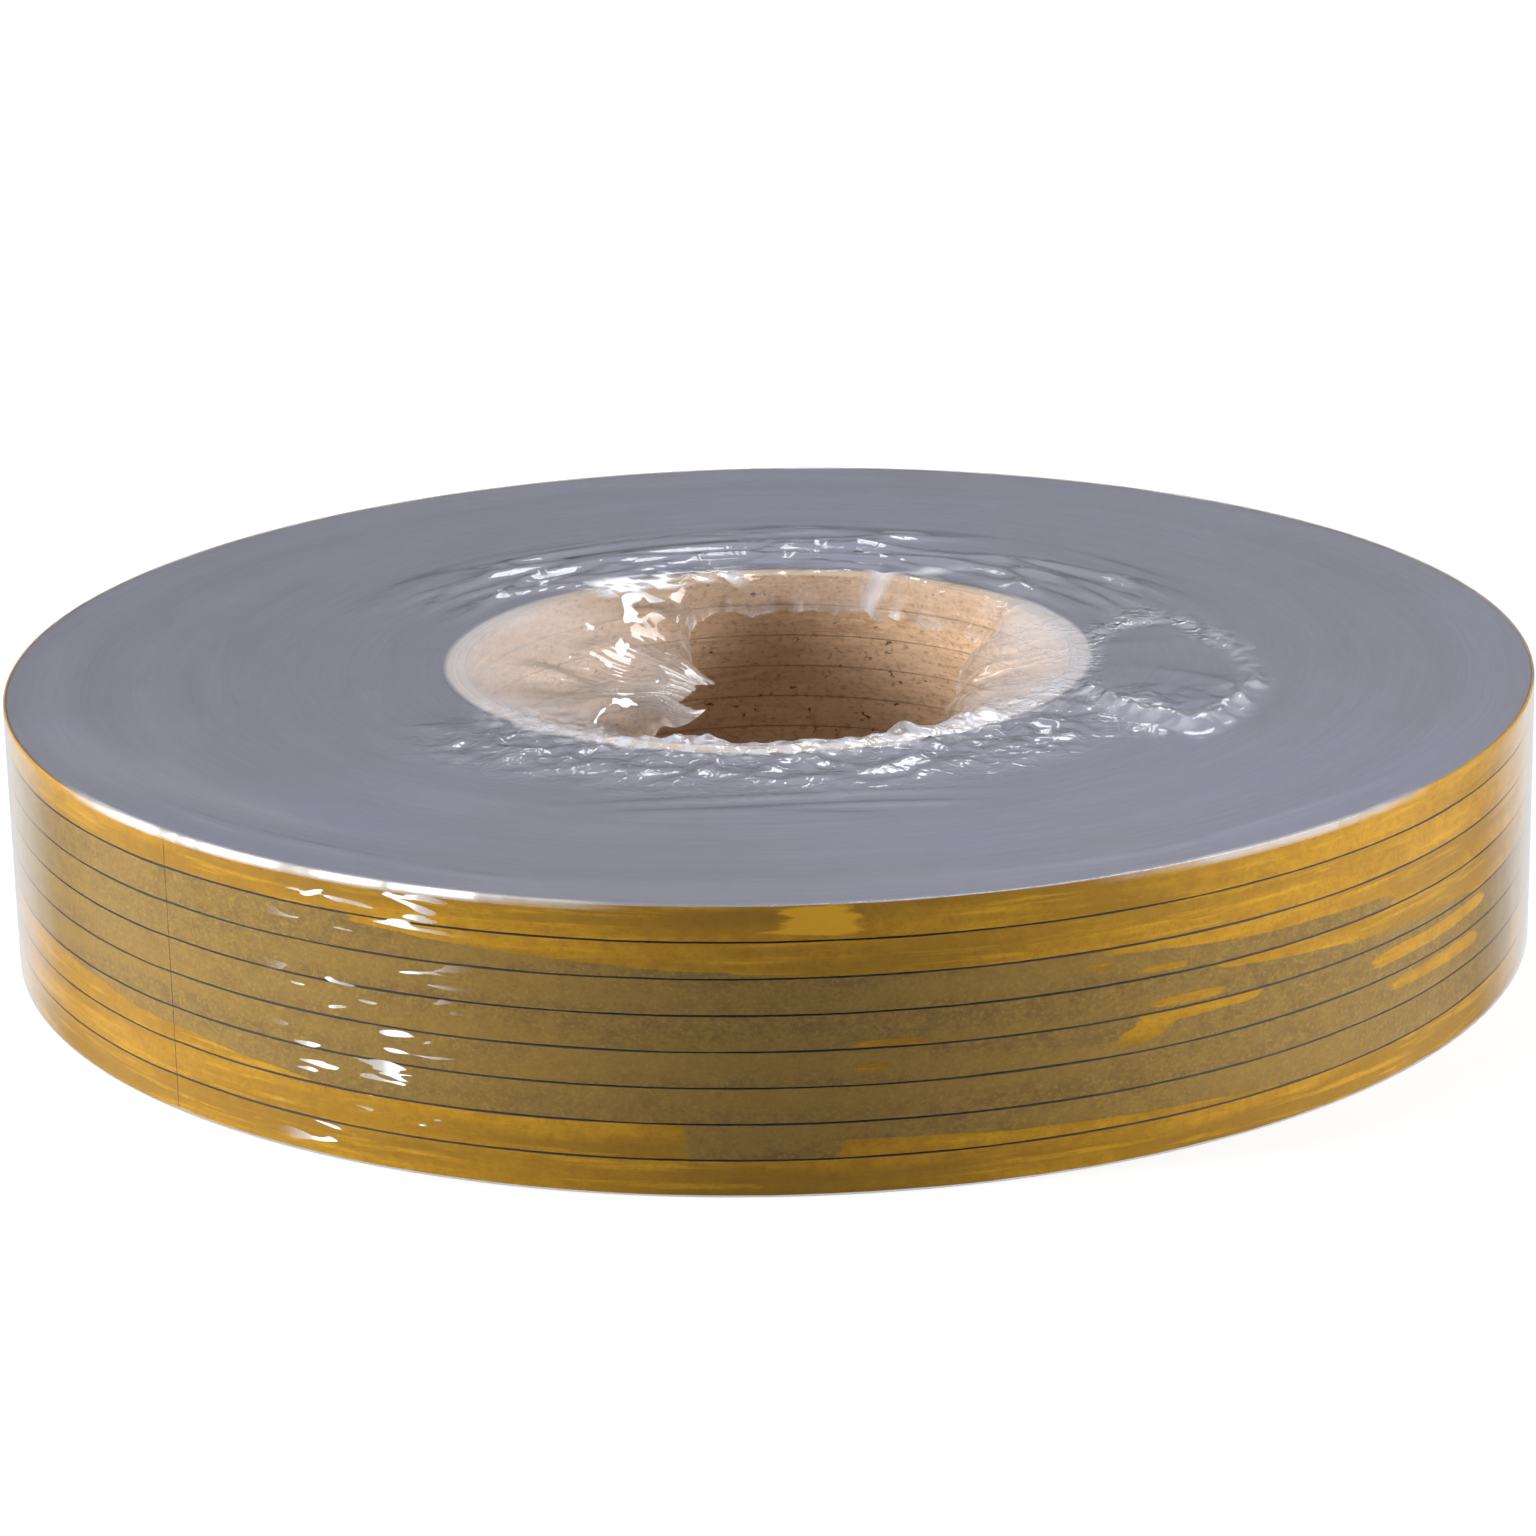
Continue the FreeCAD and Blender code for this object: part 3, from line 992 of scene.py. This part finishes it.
def web_finish(azimuth, radius, share):
    """How crinkled and milky the web is, and where highlights and glints are painted on it: milkiest at its
    torn edge, the rim and the left.
    """
    x, y = flat_point(radius, azimuth)
    ragged = raggedness(x, y)
    torn = math.exp(-share * 14.0)
    streaks = 0.5 + 0.5 * waves(x * 0.10, y * 0.30, 95.0)
    # On the left the milk stands partly for haze and partly for a painted reflection of the bright
    # surroundings.
    left = sector(azimuth, 120.0, 240.0, 30.0) * (0.45 + 0.55 * ease(share, 0.4, 0.9))
    right = sector(azimuth, 296.0, 50.0, 30.0) * ease(share, 0.12, 0.8)
    front_rim = sector(azimuth, 212.0, 345.0, 14.0) * ease(radius, 36.0, 38.0)
    # The lip's milk is haze, with painted highlights along its torn lower edge.
    lip = sector(azimuth, 40.0, 135.0, 15.0) * (0.02 + 0.24 * torn) * (0.2 + 1.1 * ragged)
    shreds = sector(azimuth, 200.0, 252.0, 14.0) * ease(share, 0.45, 0.8) * ragged
    # Near the torn edge the milk is a painted highlight.
    milky = 0.02 + 0.15 * torn * ragged + left * (0.20 + 0.18 * streaks) + right * (0.25 + 0.35 * streaks)
    milky += lip + front_rim * (0.16 + 0.36 * ragged) + 0.35 * shreds
    milky = max(min(0.66, milky), painted_fold_highlights(azimuth, radius))
    # Painted glints: white blotches in the hung web at the left.
    puckered = sector(azimuth, 105.0, 250.0, 20.0) * ease(share, 0.0, 0.1) * (1.0 - ease(share, 0.75, 0.9))
    return 0.15 * right * web_spans(azimuth) + 0.2 * front_rim, milky, puckered


def crumpled_finish(azimuth, radius):
    """The finish of the crumpled film round the core: milkiest at the core's front edge, with painted
    highlights along the loop's outline.
    """
    x, y = flat_point(radius, azimuth)
    ragged = raggedness(x, y)
    front = sector(azimuth, *FRONT_CRUMPLES)
    fades = 1.0 - ease(radius, CRUMPLE_REACH - 8.0, CRUMPLE_REACH + 4.0)
    rim = 1.0 - ease(radius, WEB_START - 0.5, WEB_START + 2.5 + 2.0 * ragged)
    # The white along the loop's outline is a painted highlight.
    milky = 0.012 * fades * front + 0.65 * front * rim * ragged + 0.30 * loop_edge(x, y) * ragged
    milky = max(milky, painted_fold_highlights(azimuth, radius))
    crinkled = max(0.17 * front + 0.04 * sector(azimuth, *BACK_ARCS), 0.6 * loop_edge(x, y))
    return fades * crinkled, milky, 0.0


def side_painted_glints(azimuth, height):
    """Where glints are painted on the side film: two upright runs of small white dashes at the front left.
    """
    sway = 0.8 * waves(height * 0.12, 5.0)
    glint_runs = 0.0
    for centre, width in ((238.0, 2.2), (244.5, 2.6)):
        glint_runs += bell(azimuth - centre - sway, width)
    return min(1.0, glint_runs)


def painted_rim_highlight(azimuth):
    """The painted highlight along the top rim, laid into the film's milk: most at the front left."""
    left = sector(azimuth, 208.0, 262.0, 16.0)
    right = sector(azimuth, 290.0, 324.0, 12.0)
    patchy = round_waves(azimuth, 12.0, 77.0) + 0.4 * round_waves(azimuth, 50.0, 78.0)
    patchy = ease(patchy, -0.5, 0.1)
    return min(1.0, 1.1 * left + 0.45 * right) * (0.45 + 0.55 * patchy)


def face_haze(azimuth, radius):
    """How much milk the taut film of the face holds: soft streaks round it, strongest at the front left."""
    streaks = ease(round_waves(azimuth, 1.6, radius * 0.16), -0.1, 0.6)
    streaks *= 0.5 + 0.5 * ease(round_waves(azimuth, 5.0, radius * 0.35), -0.4, 0.4)
    return 0.015 * streaks + 0.045 * streaks * sector(azimuth, 185.0, 275.0, 40.0)


# The functions below give a place on the film, by section, as its radius and height, and its finish there.


def web(azimuth, share):
    """The torn web, from its edge in the bore to the outside of the core."""
    radius, height = on_web(azimuth, share)
    ahead_radius, ahead_height = on_web(azimuth, share + 0.02)
    run, rise = ahead_radius - radius, ahead_height - height
    length = math.hypot(run, rise)
    push = web_crumple(azimuth, share, radius)
    radius -= push * rise / length
    height += push * run / length + CORE_TOP
    # The paper is in the way of a fold that would dip into it.
    if radius > CORE_BORE - 0.15:
        height = max(height, CORE_TOP + FACE_CLEARANCE)
    return (radius, height), web_finish(azimuth, radius, share)


def crumpled(azimuth, share):
    """The wrinkled film round the core."""
    radius = WEB_START + share * (TAUT_START - WEB_START)
    height = CORE_TOP + FACE_CLEARANCE + face_wrinkles(azimuth, radius)
    return (radius, height), crumpled_finish(azimuth, radius)


def taut(azimuth, share):
    """The flat film of the face."""
    radius = TAUT_START + share * (CORNER_RADIUS - SHOULDER_REACH - TAUT_START)
    return (radius, TAUT_FACE + face_wrinkles(azimuth, radius)), (0.0, face_haze(azimuth, radius), 0.0)


def shoulder(azimuth, share):
    """The last millimetres before the rim, with a low ridge at the front."""
    radius = CORNER_RADIUS - SHOULDER_REACH * (1.0 - share)
    # A painted highlight along the rim begins in the last millimetre of the shoulder.
    rim_highlight = 0.8 * painted_rim_highlight(azimuth) * ease(radius, CORNER_RADIUS - 0.9, CORNER_RADIUS)
    height = TAUT_FACE + shoulder_height(azimuth, CORNER_RADIUS - radius)
    return (radius, height), (0.0, max(rim_highlight, face_haze(azimuth, radius)), 0.0)


def corner(azimuth, share):
    """The turn over the top rim, which carries the painted rim highlight."""
    turn = share * math.pi / 2
    radius = CORNER_RADIUS + FILM_CORNER * math.sin(turn)
    return (radius, CORNER_HEIGHT + FILM_CORNER * math.cos(turn)), (0.0, painted_rim_highlight(azimuth), 0.0)


def side(azimuth, share):
    """The film round the rolls. Its rows lie closer together near the rim, where the painted rim highlight
    ends.
    """
    height = CORNER_HEIGHT + share**2 * (LOW_CORNER_HEIGHT - CORNER_HEIGHT)
    stand_off = side_wrinkles(azimuth, height) * math.sin(math.pi * share**2) ** 0.25
    # A faint haze all round, and a painted sheen towards the left and right ends, which the camera sees at
    # a grazing angle.
    haze_and_sheen = 0.008 + 0.05 * compass(azimuth)[0] ** 8
    rim_highlight = painted_rim_highlight(azimuth) if share == 0.0 else 0.0
    radius = CORNER_RADIUS + FILM_CORNER + stand_off
    return (radius, height), (0.0, max(haze_and_sheen, rim_highlight), side_painted_glints(azimuth, height))


def low_corner(_, share):
    """The turn under the lower rim."""
    turn = share * math.pi / 2
    height = LOW_CORNER_HEIGHT - (LOW_CORNER_HEIGHT - LOW_FACE) * math.sin(turn)
    return (CORNER_RADIUS + FILM_CORNER * math.cos(turn), height), PLAIN_FILM


def low_taut(_, share):
    """The film under the stack."""
    return (CORNER_RADIUS + share * (TAUT_START - CORNER_RADIUS), LOW_FACE), PLAIN_FILM


def low_crumpled(azimuth, share):
    """The wrinkles round the lower mouth of the tube, which the stack's weight presses flat."""
    radius = TAUT_START + share * (CORE_BORE + 0.4 - TAUT_START)
    x, y = flat_point(radius, azimuth)
    pressed = 0.03 * crease(x * 0.3, y * 0.3, 40.0)
    return (radius, LOW_FACE - pressed), (0.4 * share, 0.04 * share, 0.0)


def low_lip(azimuth, share):
    """The torn lip in the lower mouth of the tube."""
    x, y = compass(azimuth)
    torn = 1.0 + 0.35 * round_waves(azimuth, 4.0, 50.0) + 0.18 * round_waves(azimuth, 14.0, 51.0)
    stand_off = 0.15 + 0.5 * ease(share, 0.0, 1.0) * crease(x * 9.0, y * 9.0, share * 1.5 + 52.0)
    return (CORE_BORE - stand_off, LOW_FACE + share * LOW_LIP * torn), (0.4, 0.05 + 0.3 * share**8, 0.0)


# The sections of each part of the film, and how many rows of faces each has.
FILM_ABOVE = ((web, 24), (crumpled, 32), (taut, 6), (shoulder, 12), (corner, 4), (side, 8))
FILM_BELOW = ((low_corner, 4), (low_taut, 6), (low_crumpled, 14), (low_lip, 8))


def film_part(name, sections, material):
    """One part of the film as a sheet, thickened outwards. The last section ends in a row of its own."""
    rows = [(section, row / count) for section, count in sections for row in range(count)]
    rows.append((sections[-1][0], 1.0))
    points, finishes = [], []
    for section, share in rows:
        for azimuth in azimuths(FILM_COLUMNS):
            (radius, height), finish = section(azimuth, share)
            points.append(polar(radius, azimuth, height))
            finishes.append(finish)
    faces = sheet_faces(len(rows), FILM_COLUMNS)
    node = "shrink_film"
    piece = finish_piece(name, points, faces, material, "film_wrap", node, FILM_SHARP_DEGREES)
    for kind, values in zip(("crinkled", "milky", "puckered"), zip(*finishes)):
        store(piece, kind, values)
    skin = piece.modifiers.new("thickness", "SOLIDIFY")
    skin.thickness = FILM_THICK * MM
    skin.offset = 1.0
    # Applied here, so that the cut edges of the sheet can be marked sharp.
    evaluated = piece.evaluated_get(bpy.context.evaluated_depsgraph_get())
    sheet = bpy.data.meshes.new_from_object(evaluated)
    piece.modifiers.clear()
    piece.data = sheet
    sheet.set_sharp_from_angle(angle=math.radians(FILM_SHARP_DEGREES))


# ---------- studio

FLOOR_HALF = 5.0
FLOOR_DROP = 0.00002
CAMERA_DISTANCE = 0.624
CAMERA_ELEVATION = 16.44
CAMERA_LENS = 115.3
CAMERA_SENSOR = 36.0
CAMERA_ROLL = -1.18
AIM_BELOW_TOP = 0.0152
AIM_LEFT = -0.0003
LAMP_DISTANCE = 1.1
WORLD_LIGHT = 0.6
WORLD_SEEN = 0.93

# Azimuth, elevation, width and height in metres, and watts. Soft boxes only light the stack; glints only
# show in the film.
SOFT_BOXES = {
    "overhead": (145.0, 68.0, 0.8, 0.6, 6.9),
    "back_window": (90.0, 22.0, 0.5, 0.35, 4.5),
    "left_window": (190.0, 15.0, 0.35, 0.35, 22.0),
    "right_window": (350.0, 18.0, 0.35, 0.35, 19.0),
}
GLINTS = {
    "glint_back_left": (110.0, 38.0, 0.24, 0.09, 0.25),
    "glint_back_right": (70.0, 48.0, 0.48, 0.34, 3.5),
    "glint_front": (215.0, 52.0, 0.26, 0.16, 0.5),
}


def floor():
    """The floor as a large plain sheet under the stack."""
    mesh = bpy.data.meshes.new("floor")
    corners = [(-1, -1), (1, -1), (1, 1), (-1, 1)]
    points = [(x * FLOOR_HALF, y * FLOOR_HALF, -FLOOR_DROP) for x, y in corners]
    mesh.from_pydata(points, [], [(0, 1, 2, 3)])
    mesh.materials.append(floor_material())
    sheet = new_object("floor", mesh)
    sheet.visible_glossy = False


def world():
    """Soft studio surroundings, as the film mirrors them: dark in front, brighter behind and above."""
    made = bpy.data.worlds.new("studio")
    bpy.context.scene.world = made
    made.use_nodes = True
    tree = made.node_tree
    tree.nodes.clear()
    direction = add(tree, "TexCoord").outputs["Generated"]
    sideways, backwards, height = add(tree, "SeparateXYZ", {0: direction}).outputs
    below = maths(tree, "LESS_THAN", height, -0.05)
    above = maths(tree, "SUBTRACT", 1.0, below)
    ahead = remap(tree, backwards, -0.2, 0.5)
    level = remap(tree, height, 0.08, 0.26, 0.02, 0.14)
    wall = times(tree, ahead, remap(tree, height, 0.36, 0.60, 0.0, 0.28))
    sides = remap(tree, maths(tree, "ABSOLUTE", sideways), 0.65, 1.0, 0.0, 0.30)
    far_floor = times(tree, below, remap(tree, backwards, 0.55, 0.9, 0.0, 0.85))
    horizon = times(tree, above, remap(tree, height, 0.03, 0.11, 0.32, 0.0))
    for part in (wall, sides, far_floor, horizon):
        level = plus(tree, level, part)
    path = add(tree, "LightPath").outputs
    level = times(tree, level, remap(tree, path["Is Diffuse Ray"], 0.0, 1.0, 1.0, WORLD_LIGHT))
    strength = add(tree, "Mix", {0: path["Is Camera Ray"], 2: level, 3: WORLD_SEEN}).outputs[0]
    background = add(tree, "Background", {"Color": (0.96, 0.975, 1.0, 1.0), "Strength": strength})
    add(tree, "OutputWorld", {0: background.outputs[0]})


def lamp(name, azimuth, elevation, width, height, watts, glint):
    """A rectangular lamp that faces the stack."""
    light = bpy.data.lights.new(name, "AREA")
    light.shape = "RECTANGLE"
    light.size, light.size_y = width, height
    light.energy = watts
    made = new_object(name, light)
    made.visible_glossy = glint
    made.visible_diffuse = not glint
    out, up = flat_point(LAMP_DISTANCE, elevation)
    made.location = (*flat_point(out, azimuth), up)
    made.rotation_mode = "QUATERNION"
    made.rotation_quaternion = (-made.location).to_track_quat("-Z", "Y")


def camera():
    """The camera at the front, a little above the stack, rolled slightly."""
    made = new_object("camera", bpy.data.cameras.new("camera"))
    made.data.lens = CAMERA_LENS
    made.data.sensor_width = CAMERA_SENSOR
    made.data.clip_start, made.data.clip_end = 0.01, 50.0
    out, up = compass(CAMERA_ELEVATION)
    centre = Vector((0.0, 0.0, TOP * MM))
    made.location = centre + CAMERA_DISTANCE * Vector((0.0, -out, up))
    aim = centre + Vector((AIM_LEFT, 0.0, -AIM_BELOW_TOP))
    look = (aim - made.location).to_track_quat("-Z", "Y").to_matrix().to_4x4()
    roll = Matrix.Rotation(math.radians(CAMERA_ROLL), 4, "Z")
    made.rotation_mode = "QUATERNION"
    made.rotation_quaternion = (look @ roll).to_quaternion()
    bpy.context.scene.camera = made


def render_settings():
    """Plain colours, and only as many bounces as the film needs."""
    bpy.context.scene.view_settings.view_transform = "Standard"
    cycles = bpy.context.scene.cycles
    cycles.max_bounces, cycles.diffuse_bounces, cycles.glossy_bounces = 8, 2, 3
    cycles.transparent_max_bounces = 16


# ---------- assembly


def build():
    """Every visible piece, roll by roll, then the film and the studio."""
    kraft, edge, liner, foil = kraft_material(), tape_edge_material(), liner_material(), foil_material()
    for number in range(1, ROLLS + 1):
        core_ring(number, kraft)
        wound_pack(number, edge)
        last_turn(number, "foil", LINER_OUTSIDE - LINER_THICK, FOIL_THICK, FOIL_ROWS, foil)
        last_turn(number, "liner", LINER_OUTSIDE, LINER_THICK, LINER_ROWS, liner)
    film = film_material()
    film_part("film_upper", FILM_ABOVE, film)
    film_part("film_lower", FILM_BELOW, film)
    floor()
    world()
    for name, values in SOFT_BOXES.items():
        lamp(name, *values, glint=False)
    for name, values in GLINTS.items():
        lamp(name, *values, glint=True)
    camera()
    render_settings()


build()
